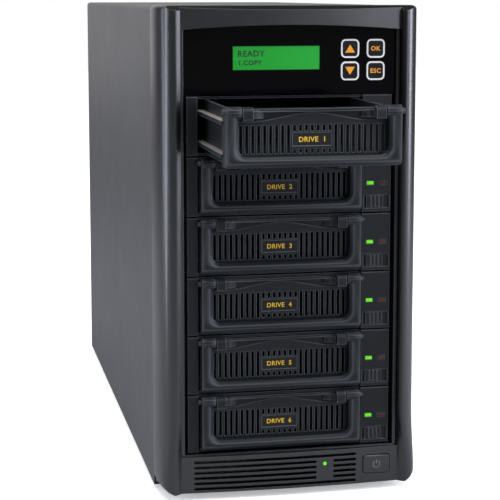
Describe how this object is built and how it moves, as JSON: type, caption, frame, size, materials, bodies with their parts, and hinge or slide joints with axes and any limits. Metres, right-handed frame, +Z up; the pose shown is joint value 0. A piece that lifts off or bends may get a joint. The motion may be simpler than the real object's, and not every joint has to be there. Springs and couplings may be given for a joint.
{
  "type": "hard drive duplicator",
  "caption": "Tower hard drive duplicator: moulded bezel, control panel with display and keys, and a column of sliding drive trays with bail handles.",
  "frame": {"origin": "on the floor, under the middle of the whole outline with the top tray half open", "axes": "+X to the right as seen from the front, +Y from the front to the back, +Z up"},
  "size_m": [0.19, 0.5856, 0.3503],
  "materials": {
    "cover_paint": "fine satin paint",
    "steel": "plain zinc-plated sheet",
    "moulded_black": "moulded, fine grain",
    "rack_black": "moulded, satin",
    "gloss_black": "high gloss",
    "display_green": "lit character display",
    "key_black": "printed key caps",
    "lens": "clear light pipe",
    "circuit_board": "solder mask",
    "rubber": "moulded rubber"
  },
  "bodies": {
    "cabinet": {"outer_cover": "cover_paint", "base_pan": "steel", "rear_panel": "cover_paint", "drive_cage": "steel", "front_bezel": "moulded_black", "control_panel": "gloss_black", "display_board": "display_green", "controller_board": "circuit_board", "power_light": "lens", "power_supply": "steel", "mains_inlet": "rack_black", "rear_fan_frame": "rack_black", "foot_front_left": "rubber", "foot_front_right": "rubber", "foot_rear_left": "rubber", "foot_rear_right": "rubber", "rack_sleeve_1": "rack_black", "rack_board_1": "circuit_board", "light_pipe_1": "lens", "rack_sleeve_2": "rack_black", "rack_board_2": "circuit_board", "light_pipe_2": "lens", "rack_sleeve_3": "rack_black", "rack_board_3": "circuit_board", "light_pipe_3": "lens", "rack_sleeve_4": "rack_black", "rack_board_4": "circuit_board", "light_pipe_4": "lens", "rack_sleeve_5": "rack_black", "rack_board_5": "circuit_board", "light_pipe_5": "lens", "rack_sleeve_6": "rack_black", "rack_board_6": "circuit_board", "light_pipe_6": "lens"},
    "key_up": {"key_up": "key_black"},
    "key_down": {"key_down": "key_black"},
    "key_ok": {"key_ok": "key_black"},
    "key_esc": {"key_esc": "key_black"},
    "power_button": {"power_button": "moulded_black"},
    "mains_switch": {"mains_switch": "rack_black"},
    "rear_fan_rotor": {"rear_fan_rotor": "rack_black"},
    "supply_fan_rotor": {"supply_fan_rotor": "rack_black"},
    "lock_knob_1": {"lock_knob_1": "rack_black"},
    "lock_knob_2": {"lock_knob_2": "rack_black"},
    "lock_knob_3": {"lock_knob_3": "rack_black"},
    "lock_knob_4": {"lock_knob_4": "rack_black"},
    "lock_knob_5": {"lock_knob_5": "rack_black"},
    "lock_knob_6": {"lock_knob_6": "rack_black"},
    "tray_1": {"tray_1": "rack_black"},
    "tray_2": {"tray_2": "rack_black"},
    "tray_3": {"tray_3": "rack_black"},
    "tray_4": {"tray_4": "rack_black"},
    "tray_5": {"tray_5": "rack_black"},
    "tray_6": {"tray_6": "rack_black"},
    "handle_1": {"handle_1": "rack_black"},
    "handle_2": {"handle_2": "rack_black"},
    "handle_3": {"handle_3": "rack_black"},
    "handle_4": {"handle_4": "rack_black"},
    "handle_5": {"handle_5": "rack_black"},
    "handle_6": {"handle_6": "rack_black"}
  },
  "joints": [
    {"name": "key_up_press", "type": "slide", "parent": "cabinet", "child": "key_up", "axis": [0, 1, 0], "range_m": [0, 0.0005], "stiffness_N_per_m": 400},
    {"name": "key_down_press", "type": "slide", "parent": "cabinet", "child": "key_down", "axis": [0, 1, 0], "range_m": [0, 0.0005], "stiffness_N_per_m": 400},
    {"name": "key_ok_press", "type": "slide", "parent": "cabinet", "child": "key_ok", "axis": [0, 1, 0], "range_m": [0, 0.0005], "stiffness_N_per_m": 400},
    {"name": "key_esc_press", "type": "slide", "parent": "cabinet", "child": "key_esc", "axis": [0, 1, 0], "range_m": [0, 0.0005], "stiffness_N_per_m": 400},
    {"name": "power_button_press", "type": "slide", "parent": "cabinet", "child": "power_button", "axis": [0, 1, 0], "range_m": [0, 0.002], "stiffness_N_per_m": 500},
    {"name": "mains_switch_rock", "type": "hinge", "parent": "cabinet", "child": "mains_switch", "pos_m": [0.052, 0.2848, 0.2843], "axis": [-1, 0, 0], "range_deg": [0, 16]},
    {"name": "rear_fan_spin", "type": "hinge", "parent": "cabinet", "child": "rear_fan_rotor", "pos_m": [0, 0.2736, 0.159], "axis": [0, 1, 0], "continuous": true},
    {"name": "supply_fan_spin", "type": "hinge", "parent": "cabinet", "child": "supply_fan_rotor", "pos_m": [-0.028, 0.2728, 0.3053], "axis": [0, 1, 0], "continuous": true},
    {"name": "tray_1_slide", "type": "slide", "parent": "cabinet", "child": "tray_1", "axis": [0, -1, 0], "range_m": [-0.095, 0.095]},
    {"name": "tray_2_slide", "type": "slide", "parent": "cabinet", "child": "tray_2", "axis": [0, -1, 0], "range_m": [0, 0.19]},
    {"name": "tray_3_slide", "type": "slide", "parent": "cabinet", "child": "tray_3", "axis": [0, -1, 0], "range_m": [0, 0.19]},
    {"name": "tray_4_slide", "type": "slide", "parent": "cabinet", "child": "tray_4", "axis": [0, -1, 0], "range_m": [0, 0.19]},
    {"name": "tray_5_slide", "type": "slide", "parent": "cabinet", "child": "tray_5", "axis": [0, -1, 0], "range_m": [0, 0.19]},
    {"name": "tray_6_slide", "type": "slide", "parent": "cabinet", "child": "tray_6", "axis": [0, -1, 0], "range_m": [0, 0.19]},
    {"name": "handle_1_swing", "type": "hinge", "parent": "tray_1", "child": "handle_1", "pos_m": [-0.0067, -0.2889, 0.2834], "axis": [-1, 0, 0], "range_deg": [0, 90]},
    {"name": "handle_2_swing", "type": "hinge", "parent": "tray_2", "child": "handle_2", "pos_m": [-0.0067, -0.1939, 0.2409], "axis": [-1, 0, 0], "range_deg": [0, 90]},
    {"name": "handle_3_swing", "type": "hinge", "parent": "tray_3", "child": "handle_3", "pos_m": [-0.0067, -0.1939, 0.1984], "axis": [-1, 0, 0], "range_deg": [0, 90]},
    {"name": "handle_4_swing", "type": "hinge", "parent": "tray_4", "child": "handle_4", "pos_m": [-0.0067, -0.1939, 0.1559], "axis": [-1, 0, 0], "range_deg": [0, 90]},
    {"name": "handle_5_swing", "type": "hinge", "parent": "tray_5", "child": "handle_5", "pos_m": [-0.0067, -0.1939, 0.1134], "axis": [-1, 0, 0], "range_deg": [0, 90]},
    {"name": "handle_6_swing", "type": "hinge", "parent": "tray_6", "child": "handle_6", "pos_m": [-0.0067, -0.1939, 0.0709], "axis": [-1, 0, 0], "range_deg": [0, 90]},
    {"name": "lock_knob_1_slide", "type": "slide", "parent": "cabinet", "child": "lock_knob_1", "axis": [1, 0, 0], "range_m": [0, 0.0026]},
    {"name": "lock_knob_2_slide", "type": "slide", "parent": "cabinet", "child": "lock_knob_2", "axis": [1, 0, 0], "range_m": [0, 0.0026]},
    {"name": "lock_knob_3_slide", "type": "slide", "parent": "cabinet", "child": "lock_knob_3", "axis": [1, 0, 0], "range_m": [0, 0.0026]},
    {"name": "lock_knob_4_slide", "type": "slide", "parent": "cabinet", "child": "lock_knob_4", "axis": [1, 0, 0], "range_m": [0, 0.0026]},
    {"name": "lock_knob_5_slide", "type": "slide", "parent": "cabinet", "child": "lock_knob_5", "axis": [1, 0, 0], "range_m": [0, 0.0026]},
    {"name": "lock_knob_6_slide", "type": "slide", "parent": "cabinet", "child": "lock_knob_6", "axis": [1, 0, 0], "range_m": [0, 0.0026]}
  ]
}
